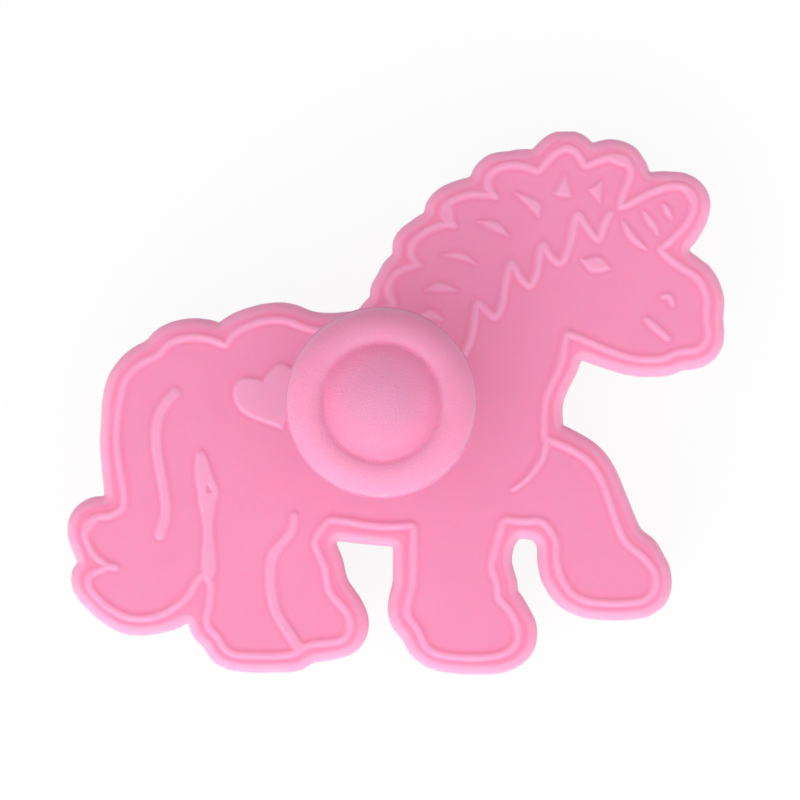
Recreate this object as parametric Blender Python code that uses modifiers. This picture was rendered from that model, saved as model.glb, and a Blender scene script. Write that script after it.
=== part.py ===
"""Unicorn cookie cutter with a sprung plunger that embosses the dough and pushes the cookie out.

Metres, +Z up, standing on its cutting edge at z = 0. Seen from above, the head points to +X and the
feet to -Y, and the plan is centred on the top plate's box. The figure is drawn once, as lines on a
flat sheet, and the plate, its raised lines, the skirt, the cutting edge and the stamp all come from
that drawing. The plunger slides straight down along its own axis.
"""
import math

import bmesh
import bpy
import numpy as np
from mathutils import Matrix, Vector
from mathutils.geometry import delaunay_2d_cdt, intersect_line_line_2d

MM = 0.001

# Figure on the plate
FIGURE_LENGTH = 85.35 * MM
RIM_WIDTH = 2.35 * MM
RIM_ROLL = 0.8 * MM
RIM_DROP = 0.75 * MM
OUTLINE_LINE = 0.95 * MM
BROAD_LINE = 1.35 * MM
FINE_LINE = 0.95 * MM
HAIR_LINE = 0.8 * MM
LINE_HEIGHT = 0.55 * MM

# Plate, skirt and cutting edge
PLATE_THICKNESS = 2.2 * MM
SKIRT_DEPTH = 13.5 * MM
SKIRT_WALL = 1.2 * MM
EDGE_LAND = 0.5 * MM
EDGE_TAPER = 2.6 * MM

# Stem and the sleeve that guides it
STEM_DIAMETER = 6.0 * MM
SLEEVE_WALL = 1.2 * MM
SLEEVE_HEIGHT = 8.0 * MM

# Stamp
STAMP_THICKNESS = 3.0 * MM
STAMP_WEB = 1.2 * MM
STAMP_LINE_HEIGHT = 1.2 * MM
STAMP_SIDE_GAP = 0.45 * MM
STAMP_MARGIN = 0.5 * MM
STAMP_STOP_HEIGHT = 0.6 * MM

# Knob
KNOB_DIAMETER = 24.8 * MM
KNOB_WALL = 1.6 * MM
KNOB_FLOOR = 2.0 * MM
KNOB_SKIRT = 3.0 * MM
KNOB_SEAM_RISE = 3.4 * MM
KNOB_EDGE_ROUND = 0.5 * MM
HUB_DIAMETER = 10.4 * MM
SOCKET_DEPTH = 2.6 * MM
SOCKET_WEB = 1.6 * MM
SPRING_CUP_DEPTH = 2.4 * MM
SPRING_CUP_WALL = 1.1 * MM
CAP_ROOM = 0.4 * MM
CAP_STEP = 0.15 * MM
CAP_THICKNESS = 1.5 * MM
CAP_SPIGOT = 1.5 * MM
CAP_SPIGOT_WALL = 1.2 * MM
CAP_SHOULDER = 3.0 * MM
DOME_RADIUS = 7.8 * MM
DOME_RISE = 2.0 * MM
CREST_RADIUS = 9.1 * MM
CREST_RISE = 0.15 * MM

# Screws and washer
SCREW_DIAMETER = 2.8 * MM
SCREW_LENGTH = 9.0 * MM
HEAD_DIAMETER = 5.4 * MM
HEAD_HEIGHT = 1.4 * MM
HEAD_ROUND = 0.4 * MM
RECESS_LENGTH = 2.8 * MM
RECESS_WIDTH = 0.6 * MM
RECESS_DEPTH = 0.8 * MM
PILOT_SPARE = 0.9 * MM
WASHER_DIAMETER = 7.0 * MM
WASHER_THICKNESS = 0.5 * MM

# Return spring
WIRE = 0.9 * MM
SPRING_BORE_GAP = 0.5 * MM
SPRING_TURNS = 6.5
END_TURN_GAP = 0.55 * MM

# Clearances
SEAT_GAP = 0.3 * MM
RUNNING_GAP = 0.3 * MM

# Fineness of the faceted shapes
CURVE_STEP = 0.35 * MM
CURVE_TOLERANCE = 0.07 * MM
ARC_STEP = math.radians(30)
MITRE_LIMIT = math.radians(16)
FOLD_SLACK = 0.004 * MM
LEAST_STEP = 0.12 * MM
END_STEPS = 4
TURN_STEPS = 36
SMALL_TURN_STEPS = 20
SPRING_POINTS = 9
PROFILE_STEPS = 4
MERGE = 0.001 * MM

# The drawing, in parts of this length, with the plunger's axis near its middle
SHEET_LENGTH = 85.35
PLUNGER_ON_SHEET = (-1.85, 0.03)

# Outline, counter-clockwise from the rump. Each stretch is smooth, starts at the last point of the
# one before and ends in a corner.
OUTLINE = (
    ((-25.0, 8.5), (-27.5, 8.95), (-30.0, 8.65), (-31.4, 7.9), (-32.7, 6.5)),
    ((-34.1, 5.9), (-35.8, 4.7), (-37.2, 2.7), (-37.9, -0.3), (-38.3, -4.5), (-38.0, -8.2),
     (-37.5, -11.0), (-37.3, -13.6), (-37.9, -15.0), (-39.3, -15.55), (-41.0, -15.6),
     (-42.3, -16.5), (-42.65, -18.0), (-42.0, -20.0), (-40.6, -21.7), (-38.4, -22.6)),
    ((-40.6, -22.9), (-41.9, -23.6), (-42.25, -24.8), (-41.2, -26.5), (-39.05, -28.4),
     (-37.0, -29.4), (-35.0, -29.65), (-32.6, -29.2), (-30.3, -28.0), (-28.5, -26.4),
     (-27.3, -24.4), (-26.2, -23.3)),
    ((-25.5, -24.8), (-25.5, -26.4), (-25.75, -28.2), (-26.0, -29.5), (-25.7, -31.0),
     (-24.7, -31.9), (-24.2, -32.6), (-23.6, -33.7), (-22.6, -34.4), (-20.9, -34.7),
     (-16.7, -34.7), (-14.2, -34.5), (-12.9, -33.8), (-12.2, -33.3)),
    ((-10.0, -33.05), (-8.3, -32.8), (-7.1, -32.3), (-6.4, -31.2), (-6.3, -30.0), (-6.9, -28.7),
     (-8.1, -27.2), (-9.1, -26.0)),
    ((-9.5, -24.4), (-9.9, -22.4), (-10.6, -20.6), (-11.2, -19.1)),
    ((-10.5, -17.75), (-9.3, -16.1)),
    ((-7.0, -16.3), (-4.0, -16.85), (-1.0, -17.05), (2.35, -16.85)),
    ((2.25, -20.0), (2.3, -23.0), (2.2, -25.0), (1.8, -26.4), (1.5, -27.8), (1.5, -29.1),
     (2.1, -30.2), (3.0, -31.3), (3.5, -32.5), (4.1, -33.6), (5.0, -34.3), (6.5, -34.75),
     (9.0, -35.0), (12.0, -35.0), (14.0, -34.7), (15.5, -34.0), (16.5, -32.8), (16.65, -31.2),
     (16.1, -29.6), (15.2, -28.2), (14.1, -27.1)),
    ((13.8, -25.0), (13.4, -23.6), (13.05, -22.1)),
    ((13.5, -20.2), (14.2, -17.9), (14.65, -16.1)),
    ((17.0, -16.35), (20.0, -16.45)),
    ((21.1, -17.7), (21.85, -19.2), (21.9, -21.2), (22.2, -23.1), (23.0, -24.9), (24.2, -26.4),
     (26.0, -27.3), (28.5, -27.6), (31.5, -27.6), (33.6, -27.3), (35.0, -26.3), (35.55, -24.7),
     (35.3, -23.2), (34.3, -21.8), (32.8, -20.35), (31.4, -19.2)),
    ((30.6, -17.6), (29.75, -15.4), (28.85, -12.7), (28.0, -10.5), (27.0, -8.8), (25.6, -7.5),
     (23.9, -6.5), (22.0, -5.6), (20.3, -4.9)),
    ((20.2, -2.0), (20.35, 0.1), (20.9, 1.8), (21.7, 3.4), (22.5, 5.4), (22.95, 7.4), (23.2, 9.4)),
    ((25.0, 8.8), (27.3, 7.75), (30.0, 6.7), (32.0, 6.05), (34.5, 5.8), (36.9, 6.05), (38.1, 6.7)),
    ((40.0, 6.9), (41.3, 7.2), (42.3, 8.1), (42.7, 9.5), (42.45, 11.4), (42.6, 13.3),
     (42.35, 15.0), (41.5, 16.8), (39.9, 18.0), (38.0, 19.2), (36.1, 20.85)),
    ((38.2, 22.7), (39.9, 24.7), (40.8, 26.7), (40.7, 28.2), (39.6, 29.3), (37.8, 29.55),
     (35.8, 29.1), (33.3, 27.95), (30.4, 26.4)),
    ((31.2, 28.8), (31.9, 30.5), (32.1, 32.0), (31.4, 33.2), (29.9, 33.6), (28.2, 33.25),
     (25.8, 32.3)),
    ((25.1, 33.7), (24.2, 34.6), (23.2, 34.8), (21.9, 34.15), (20.6, 33.0), (19.5, 31.6)),
    ((17.8, 32.25), (15.9, 32.5), (14.1, 32.15), (12.8, 31.1), (12.4, 29.8), (12.75, 28.8),
     (13.7, 28.1)),
    ((12.2, 28.4), (10.2, 28.5), (8.3, 27.95), (6.9, 27.1), (6.4, 26.0), (6.8, 24.9), (7.9, 24.2)),
    ((6.2, 24.3), (4.4, 23.55), (2.75, 22.5), (1.95, 21.1), (2.2, 19.7), (3.4, 18.8)),
    ((1.6, 18.5), (0.1, 17.75), (-0.9, 16.5), (-1.15, 15.1), (-0.7, 14.0), (0.0, 13.3)),
    ((-1.3, 13.0), (-2.5, 12.2), (-3.4, 11.2), (-3.7, 10.5)),
    ((-6.0, 10.2), (-8.5, 10.0), (-11.0, 9.9), (-12.9, 10.35), (-14.5, 11.05), (-16.4, 11.35),
     (-18.6, 11.1), (-20.6, 10.4), (-22.3, 9.3), (-23.4, 7.8)),
)

# Inner lines: width, how the width swells along the line, and the middle of the line
EVEN = (1.0, 1.0)
CRESCENT = (0.35, 0.8, 1.0, 0.8, 0.35)
LINES = {
    "tail_lock": (BROAD_LINE, EVEN, (
        (-30.3, 1.4), (-31.6, -0.1), (-32.6, -2.2), (-32.85, -4.2), (-32.75, -6.6), (-32.2, -10.0),
        (-31.7, -13.0), (-31.6, -15.5), (-32.4, -18.1))),
    "thigh": (BROAD_LINE, (1.0, 1.4, 1.95, 2.1, 1.5, 1.05, 0.95, 1.2, 1.45, 1.6), (
        (-26.8, -7.2), (-26.5, -9.5), (-26.0, -11.5), (-25.75, -12.3), (-25.9, -13.8),
        (-25.85, -15.5), (-25.8, -17.5), (-25.7, -19.5), (-25.7, -21.5), (-25.8, -23.3))),
    "hind_leg": (BROAD_LINE, (0.75, 1.0, 1.0, 1.0), (
        (-14.0, -15.4), (-14.1, -16.75), (-14.6, -17.95), (-16.4, -20.0), (-17.05, -21.2),
        (-17.3, -23.0), (-17.2, -25.6), (-16.45, -28.8), (-15.3, -30.8), (-13.5, -33.4))),
    "shoulder": (FINE_LINE, (1.0, 0.9, 0.6), (
        (20.3, -5.0), (20.1, -7.2), (19.1, -9.0), (17.5, -10.8), (15.8, -12.1))),
    "mane_edge": (FINE_LINE, EVEN, (
        (8.6, 5.6), (10.0, 8.3), (10.7, 11.8), (11.1, 13.5), (12.3, 12.5), (13.5, 11.7),
        (14.3, 13.0), (14.9, 16.2), (15.8, 18.95), (16.7, 17.4), (18.2, 16.0), (19.2, 17.7),
        (19.5, 19.8), (20.1, 21.5), (21.1, 20.0), (22.4, 19.1), (23.3, 20.4), (24.1, 23.1),
        (24.9, 25.6), (26.2, 23.8), (27.6, 22.4), (28.4, 24.2), (29.15, 25.8))),
    "horn_band_1": (FINE_LINE, CRESCENT, ((31.1, 24.7), (31.7, 23.45), (32.7, 22.2), (34.1, 21.0))),
    "horn_band_2": (FINE_LINE, CRESCENT, ((33.9, 26.0), (34.7, 24.9), (35.5, 23.8), (35.8, 23.0))),
    "horn_band_3": (FINE_LINE, CRESCENT, ((36.6, 27.0), (37.1, 26.3), (37.6, 25.2))),
    "nostril": (HAIR_LINE, (0.6, 1.0, 0.7), ((36.4, 14.4), (37.4, 14.4), (37.8, 13.3))),
    "mouth": (HAIR_LINE, EVEN, ((34.4, 11.2), (35.8, 9.9), (37.15, 8.7))),
}

# Filled marks, drawn like the outline
MARKS = {
    "lock_1": (((21.7, 28.6),), ((22.3, 28.2), (23.9, 28.2)), ((23.1, 31.3),)),
    "lock_2": (((26.4, 29.05),), ((27.9, 27.3),), ((28.15, 30.4),)),
    "lock_3": (((17.9, 27.1), (19.45, 25.4)), ((19.65, 27.1), (18.3, 28.0), (16.3, 28.65))),
    "lock_4": (((13.2, 23.6), (15.35, 22.8)), ((14.4, 24.2), (13.2, 24.8), (11.2, 24.75))),
    "lock_5": (((8.7, 19.5), (10.9, 18.9)), ((9.7, 20.1), (8.3, 20.5), (6.3, 20.2))),
    "lock_6": (((6.2, 15.2), (8.3, 15.3)), ((6.6, 16.25), (5.5, 16.4), (4.0, 15.3))),
    "lock_7": (((4.6, 11.4), (6.4, 11.2)), ((5.5, 12.3), (4.3, 12.6), (2.9, 11.8))),
    "eye": (((26.6, 17.9), (27.6, 17.8), (29.3, 18.25)), ((27.9, 19.85), (25.4, 19.45))),
}
GAP_IN_THIGH = (((-25.35, -12.45), (-25.35, -11.3)), ((-25.9, -11.4), (-26.15, -12.4)))

# Heart: one half, as distances along and across its middle line, from the notch to the tip
HEART_NOTCH = (-18.3, 3.1)
HEART_TURN = math.radians(-68.8)
HEART_HALF = ((-0.8, 1.5), (-1.2, 2.6), (-0.6, 3.8), (0.8, 4.5), (2.4, 4.5), (3.7, 3.8), (5.0, 2.5),
              (6.2, 1.15), (7.2, 0.0))

# Heights
PLATE_TOP = SKIRT_DEPTH + PLATE_THICKNESS
STAMP_TOP = SKIRT_DEPTH - SEAT_GAP
STAMP_FACE = STAMP_TOP - STAMP_THICKNESS
STROKE = STAMP_FACE - STAMP_LINE_HEIGHT - STAMP_STOP_HEIGHT
SLEEVE_TOP = PLATE_TOP + SLEEVE_HEIGHT
KNOB_FLOOR_FACE = SLEEVE_TOP + STROKE + RUNNING_GAP
KNOB_SEAM = KNOB_FLOOR_FACE + KNOB_SEAM_RISE
HUB_TOP = KNOB_FLOOR_FACE + SOCKET_DEPTH + SOCKET_WEB
STEM_FOOT = STAMP_TOP + SEAT_GAP
STEM_TOP = KNOB_FLOOR_FACE + SOCKET_DEPTH - SEAT_GAP
WASHER_FOOT = HUB_TOP + SEAT_GAP
HEAD_SEAT = WASHER_FOOT + WASHER_THICKNESS + SEAT_GAP
CAP_CEILING = HEAD_SEAT + HEAD_HEIGHT + CAP_ROOM
CAP_TOP = CAP_CEILING + CAP_THICKNESS
CAP_GROOVE = CAP_TOP - DOME_RISE

# Radii
STEM_RADIUS = STEM_DIAMETER / 2
SLEEVE_BORE = STEM_RADIUS + RUNNING_GAP
SLEEVE_RADIUS = SLEEVE_BORE + SLEEVE_WALL
SCREW_RADIUS = SCREW_DIAMETER / 2
SCREW_HOLE = SCREW_RADIUS + SEAT_GAP
HEAD_RADIUS = HEAD_DIAMETER / 2
SPRING_RADIUS = SLEEVE_RADIUS + SPRING_BORE_GAP + WIRE / 2
KNOB_RADIUS = KNOB_DIAMETER / 2


def smooth_curve(points, step):
    """Centripetal Catmull-Rom curve through the points, with a new point about every step."""
    knots = [Vector(p) for p in points]
    knots = [2 * knots[0] - knots[1], *knots, 2 * knots[-1] - knots[-2]]
    curve = []
    for a, b, c, d in zip(knots, knots[1:], knots[2:], knots[3:]):
        t1 = math.sqrt((b - a).length)
        t2 = t1 + math.sqrt((c - b).length)
        t3 = t2 + math.sqrt((d - c).length)
        count = max(1, round((c - b).length / step))
        for i in range(count):
            t = t1 + (t2 - t1) * i / count
            ab = a.lerp(b, t / t1)
            bc = b.lerp(c, (t - t1) / (t2 - t1))
            cd = c.lerp(d, (t - t2) / (t3 - t2))
            abc = ab.lerp(bc, t / t2)
            bcd = bc.lerp(cd, (t - t1) / (t3 - t1))
            curve.append(abc.lerp(bcd, (t - t1) / (t2 - t1)))
    curve.append(knots[-2])
    return curve


def simplified(points, tolerance):
    """The points that keep an open curve within the tolerance of itself."""
    if len(points) < 3:
        return points
    start, end = points[0], points[-1]
    chord = (end - start).normalized()
    gaps = [(p - start - chord * chord.dot(p - start)).length for p in points[1:-1]]
    far = max(gaps)
    if far < tolerance:
        return [start, end]
    middle = gaps.index(far) + 1
    return simplified(points[:middle + 1], tolerance)[:-1] + simplified(points[middle:], tolerance)


def on_sheet(points):
    """Points of the drawing as real lengths."""
    scale = FIGURE_LENGTH / SHEET_LENGTH
    return [Vector(p) * scale for p in points]


def counter_clockwise(loop):
    """The loop, turned round if it runs clockwise."""
    area = sum(a.cross(b) for a, b in zip(loop, loop[1:] + loop[:1]))
    return loop if area > 0 else loop[::-1]


def closed_loop(stretches):
    """Closed loop of smooth stretches that meet in corners."""
    loop = []
    corner = stretches[-1][-1]
    for stretch in stretches:
        curve = smooth_curve(on_sheet([corner, *stretch]), CURVE_STEP)
        loop += simplified(curve, CURVE_TOLERANCE)[:-1]
        corner = stretch[-1]
    return counter_clockwise(loop)


def heart_loop():
    """Closed loop of the heart, from one half and its mirror image."""
    half = [(0.0, 0.0), *HEART_HALF]
    other = [(along, -across) for along, across in half[::-1]]
    turn = Matrix.Rotation(HEART_TURN, 2)
    place = Vector(HEART_NOTCH)
    halves = [[place + turn @ Vector(p) for p in side] for side in (half, other)]
    loop = []
    for side in halves:
        loop += simplified(smooth_curve(on_sheet(side), CURVE_STEP), CURVE_TOLERANCE)[:-1]
    return counter_clockwise(loop)


def circle(radius, steps, centre):
    """Closed loop round the centre."""
    angles = [2 * math.pi * k / steps for k in range(steps)]
    return [centre + Vector((math.cos(a), math.sin(a))) * radius for a in angles]


def first_crossing(path):
    """Where an open path that folds back first crosses itself, as far along as it does."""
    for i in range(len(path) - 1):
        for j in range(len(path) - 2, i + 1, -1):
            point = intersect_line_line_2d(path[i], path[i + 1], path[j], path[j + 1])
            if point:
                return [point]
    return []


def cut_folds(raw, source, distance):
    """Closed loop of the raw points that keep the distance from the source loop. Each stretch that
    comes nearer is a fold, and is cut off where the raw loop crosses itself."""
    path = np.array(source)
    steps = np.roll(path, -1, axis=0) - path
    away = np.array(raw)[:, None] - path
    along = np.clip((away * steps).sum(axis=2) / (steps ** 2).sum(axis=1), 0, 1)
    reach = np.linalg.norm(away - along[:, :, None] * steps, axis=2).min(axis=1)
    clear = reach > distance - FOLD_SLACK
    count = len(raw)
    start = next(i for i in range(count) if clear[i] and clear[i - 1])
    result = []
    last = start
    for i in range(start, start + count):
        if not clear[i % count]:
            continue
        if i - last > 1:
            result += first_crossing([raw[k % count] for k in range(last, i + 1)])
        if not result or (raw[i % count] - result[-1]).length > LEAST_STEP:
            result.append(raw[i % count])
        last = i
    return result


def offset_loop(loop, distance):
    """Loop at the distance outside a counter-clockwise one, or inside it if negative.

    It goes round outer corners in an arc and has its folds in the inner corners cut off.
    """
    raw = []
    for i, here in enumerate(loop):
        before = (here - loop[i - 1]).normalized()
        after = (loop[(i + 1) % len(loop)] - here).normalized()
        out_before = Vector((before.y, -before.x))
        out_after = Vector((after.y, -after.x))
        turn = math.atan2(before.cross(after), before.dot(after))
        if abs(turn) < MITRE_LIMIT:
            raw.append(here + (out_before + out_after) * distance / (1 + out_before.dot(out_after)))
        elif turn * distance > 0:
            steps = math.ceil(abs(turn) / ARC_STEP)
            for k in range(steps + 1):
                raw.append(here + Matrix.Rotation(turn * k / steps, 2) @ out_before * distance)
        else:
            raw += [here + out_before * distance, here + out_after * distance]
    return cut_folds(raw, loop, abs(distance))


def line_loop(width, swell, points):
    """Closed loop round a line with round ends, whose width follows the swell along it."""
    middle = smooth_curve(on_sheet(points), CURVE_STEP)
    halves = np.interp(np.linspace(0, 1, len(middle)), np.linspace(0, 1, len(swell)), swell) * width / 2
    line = simplified([Vector((*p, half)) for p, half in zip(middle, halves)], CURVE_TOLERANCE)
    middle = [p.xy for p in line]
    halves = [p.z for p in line]
    ways = [(b - a).normalized() for a, b in zip(middle, middle[1:])]
    ways = [ways[0], *[(a + b) / (1 + a.dot(b)) for a, b in zip(ways, ways[1:])], ways[-1]]
    sides = [Vector((way.y, -way.x)) * half for way, half in zip(ways, halves)]
    raw = [p + side for p, side in zip(middle, sides)]
    raw += [middle[-1] + Matrix.Rotation(math.pi * k / END_STEPS, 2) @ sides[-1] for k in range(1, END_STEPS)]
    raw += [p - side for p, side in zip(middle[::-1], sides[::-1])]
    raw += [middle[0] - Matrix.Rotation(math.pi * k / END_STEPS, 2) @ sides[0] for k in range(1, END_STEPS)]
    return cut_folds(raw, middle + middle[-2:0:-1], min(halves))


def make_drawing():
    """All loops of the figure, centred on the plate's box, and the plunger's axis there."""
    outline = closed_loop(OUTLINE)
    edge = offset_loop(outline, RIM_WIDTH)
    xs = [p.x for p in edge]
    ys = [p.y for p in edge]
    centre = Vector((min(xs) + max(xs), min(ys) + max(ys))) / 2
    lines = {name: line_loop(*line) for name, line in LINES.items()}
    lines.update({name: closed_loop(mark) for name, mark in MARKS.items()})
    lines["heart"] = heart_loop()
    gap = closed_loop(GAP_IN_THIGH)
    axis = on_sheet([PLUNGER_ON_SHEET])[0] - centre
    outline = [p - centre for p in outline]
    lines = {name: [p - centre for p in loop] for name, loop in lines.items()}
    return outline, lines, [p - centre for p in gap], axis


OUTLINE_LOOP, LINE_LOOPS, GAP_LOOP, PLUNGER_AXIS = make_drawing()


def add_sheet(bm, loops, keep, height):
    """Flat sheet at the height, cut along all the loops. Returns its faces, each with the names of
    the loops that it lies in, and the vertices on each loop. keep says which faces exist."""
    corners = []
    rings = []
    owner = []
    for name, loop in loops.items():
        rings.append(list(range(len(corners), len(corners) + len(loop))))
        corners += loop
        owner += [name] * len(loop)
    points, _, triangles, sources, _, within = delaunay_2d_cdt(corners, [], rings, 1, MERGE)
    names = list(loops)
    kept = [(t, {names[k] for k in w}) for t, w in zip(triangles, within)]
    kept = [(t, w) for t, w in kept if keep(w)]
    used = sorted({i for t, _ in kept for i in t})
    verts = {i: bm.verts.new((points[i].x, points[i].y, height)) for i in used}
    faces = {bm.faces.new([verts[i] for i in t]): w for t, w in kept}
    on_loop = {name: [] for name in names}
    for i in used:
        for source in sources[i]:
            on_loop[owner[source]].append(verts[i])
    return faces, on_loop


def raise_faces(bm, faces, height):
    """Extrude the faces by the height and return the new ones."""
    edges = {edge for face in faces for edge in face.edges}
    made = bmesh.ops.extrude_face_region(bm, geom=[*faces, *edges])["geom"]
    verts = [part for part in made if isinstance(part, bmesh.types.BMVert)]
    bmesh.ops.translate(bm, verts=verts, vec=(0, 0, height))
    return [part for part in made if isinstance(part, bmesh.types.BMFace)]


def carry_border(bm, height):
    """Extrude the open border to the height and return its new edges."""
    border = [edge for edge in bm.edges if edge.is_boundary]
    made = bmesh.ops.extrude_edge_only(bm, edges=border)["geom"]
    for part in made:
        if isinstance(part, bmesh.types.BMVert):
            part.co.z = height
    return [part for part in made if isinstance(part, bmesh.types.BMEdge) and part.is_boundary]


def finish_mesh(bm, name):
    """Close the seams, point the faces out and make the mesh."""
    bmesh.ops.remove_doubles(bm, verts=bm.verts, dist=MERGE)
    bmesh.ops.recalc_face_normals(bm, faces=bm.faces)
    mesh = bpy.data.meshes.new(name)
    bm.to_mesh(mesh)
    bm.free()
    return mesh


def make_material(name, hex_colour, roughness, metallic=0.0):
    """Plain material from an sRGB colour."""
    def linear(value):
        return value / 12.92 if value <= 0.04045 else ((value + 0.055) / 1.055) ** 2.4

    material = bpy.data.materials.new(name)
    material.use_nodes = True
    shader = material.node_tree.nodes["Principled BSDF"]
    parts = [linear(int(hex_colour[i:i + 2], 16) / 255) for i in (1, 3, 5)]
    shader.inputs["Base Color"].default_value = (*parts, 1.0)
    shader.inputs["Roughness"].default_value = roughness
    shader.inputs["Metallic"].default_value = metallic
    return material


def add_piece(name, mesh, material, parent=None):
    """Object for a piece, in the part's collection and on its parent's axis."""
    piece = bpy.data.objects.new(name, mesh)
    mesh.materials.append(material)
    bpy.data.collections["cookie_cutter"].objects.link(piece)
    piece.parent = parent
    return piece


def is_line(within):
    """Whether a face belongs to the raised drawing: the outline's line, the inner lines, the marks."""
    on_outline = "line_outside" in within and "line_inside" not in within
    return (on_outline or bool(within & LINE_LOOPS.keys())) and "gap" not in within


def make_cutter_body(material):
    """One moulding: plate with the raised drawing, skirt with the cutting edge, and guide sleeve."""
    bm = bmesh.new()
    edge = offset_loop(OUTLINE_LOOP, RIM_WIDTH)
    bore = circle(SLEEVE_BORE, TURN_STEPS, PLUNGER_AXIS)
    top_loops = {
        "edge": edge,
        "shoulder": offset_loop(OUTLINE_LOOP, RIM_WIDTH - RIM_ROLL),
        "line_outside": offset_loop(OUTLINE_LOOP, OUTLINE_LINE / 2),
        "line_inside": offset_loop(OUTLINE_LOOP, -OUTLINE_LINE / 2),
        **LINE_LOOPS,
        "gap": GAP_LOOP,
        "sleeve": circle(SLEEVE_RADIUS, TURN_STEPS, PLUNGER_AXIS),
        "bore": bore,
    }
    faces, on_loop = add_sheet(bm, top_loops, lambda within: "bore" not in within, PLATE_TOP)
    for vert in on_loop["edge"]:
        vert.co.z = PLATE_TOP - RIM_DROP
    sleeve = [face for face, within in faces.items() if "sleeve" in within]
    lines = [face for face, within in faces.items() if "sleeve" not in within and is_line(within)]
    raise_faces(bm, sleeve, SLEEVE_HEIGHT)
    raise_faces(bm, lines, LINE_HEIGHT)
    carry_border(bm, SKIRT_DEPTH)

    bottom_loops = {
        "edge": edge,
        "wall_outside": offset_loop(OUTLINE_LOOP, SKIRT_WALL / 2),
        "land_outside": offset_loop(OUTLINE_LOOP, EDGE_LAND / 2),
        "land_inside": offset_loop(OUTLINE_LOOP, -EDGE_LAND / 2),
        "wall_inside": offset_loop(OUTLINE_LOOP, -SKIRT_WALL / 2),
        "bore": bore,
    }
    faces, _ = add_sheet(bm, bottom_loops, lambda within: "bore" not in within, SKIRT_DEPTH)
    wall = {face for face, within in faces.items()
            if "wall_outside" in within and "wall_inside" not in within}
    land = {face for face in wall
            if "land_outside" in faces[face] and "land_inside" not in faces[face]}
    land_places = {(vert.co.x, vert.co.y) for face in land for vert in face.verts}
    for face in raise_faces(bm, wall, EDGE_TAPER - SKIRT_DEPTH):
        for vert in face.verts:
            if (vert.co.x, vert.co.y) in land_places:
                vert.co.z = 0.0
    return add_piece("cutter_body", finish_mesh(bm, "cutter_body"), material)


def make_stamp_plate(material, plunger):
    """Plate that fills the skirt, with the drawing standing out of its face and a screw pocket."""
    bm = bmesh.new()
    inset = SKIRT_WALL / 2 + STAMP_SIDE_GAP
    loops = {
        "border": offset_loop(OUTLINE_LOOP, -inset),
        "margin": offset_loop(OUTLINE_LOOP, -inset - STAMP_MARGIN),
        **LINE_LOOPS,
        "gap": GAP_LOOP,
        "pocket": circle(HEAD_RADIUS + SEAT_GAP, SMALL_TURN_STEPS, PLUNGER_AXIS),
        "hole": circle(SCREW_HOLE, SMALL_TURN_STEPS, PLUNGER_AXIS),
    }
    faces, _ = add_sheet(bm, loops, lambda within: "border" in within, STAMP_FACE)
    pocket = [face for face, within in faces.items() if "pocket" in within]
    lines = [face for face, within in faces.items() if "margin" in within
             and "pocket" not in within and is_line(within)]
    raise_faces(bm, lines, -STAMP_LINE_HEIGHT)
    web = raise_faces(bm, pocket, STAMP_THICKNESS - STAMP_WEB)
    hole = [face for face in web
            if (face.calc_center_median().xy - PLUNGER_AXIS).length < SCREW_HOLE]
    bmesh.ops.delete(bm, geom=hole, context="FACES")
    top = carry_border(bm, STAMP_TOP)
    bmesh.ops.triangle_fill(bm, use_beauty=True, edges=top)
    bmesh.ops.translate(bm, verts=bm.verts, vec=(-PLUNGER_AXIS.x, -PLUNGER_AXIS.y, 0))
    return add_piece("stamp_plate", finish_mesh(bm, "stamp_plate"), material, plunger)


def make_turned(name, profile, material, parent, closed=False, steps=TURN_STEPS):
    """Turned piece from a profile of radii and heights that runs down its outer side."""
    mesh = bpy.data.meshes.new(name)
    ends = [(i, i + 1) for i in range(len(profile) - 1)]
    if closed:
        ends.append((len(profile) - 1, 0))
    mesh.from_pydata([(radius, 0, height) for radius, height in profile], ends, [])
    piece = add_piece(name, mesh, material, parent)
    screw = piece.modifiers.new("turn", "SCREW")
    screw.steps = steps
    screw.render_steps = steps
    screw.use_merge_vertices = True
    screw.merge_threshold = MERGE
    return piece


def make_plunger_stem(material, plunger):
    """Round stem with a pilot hole for a screw in each end."""
    pilot = SCREW_LENGTH + PILOT_SPARE - SOCKET_WEB
    foot_pilot = SCREW_LENGTH + PILOT_SPARE - STAMP_WEB
    profile = (
        (0, STEM_TOP - pilot), (SCREW_HOLE, STEM_TOP - pilot), (SCREW_HOLE, STEM_TOP),
        (STEM_RADIUS, STEM_TOP), (STEM_RADIUS, STEM_FOOT), (SCREW_HOLE, STEM_FOOT),
        (SCREW_HOLE, STEM_FOOT + foot_pilot), (0, STEM_FOOT + foot_pilot),
    )
    return make_turned("plunger_stem", profile, material, plunger, steps=TURN_STEPS)


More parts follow.
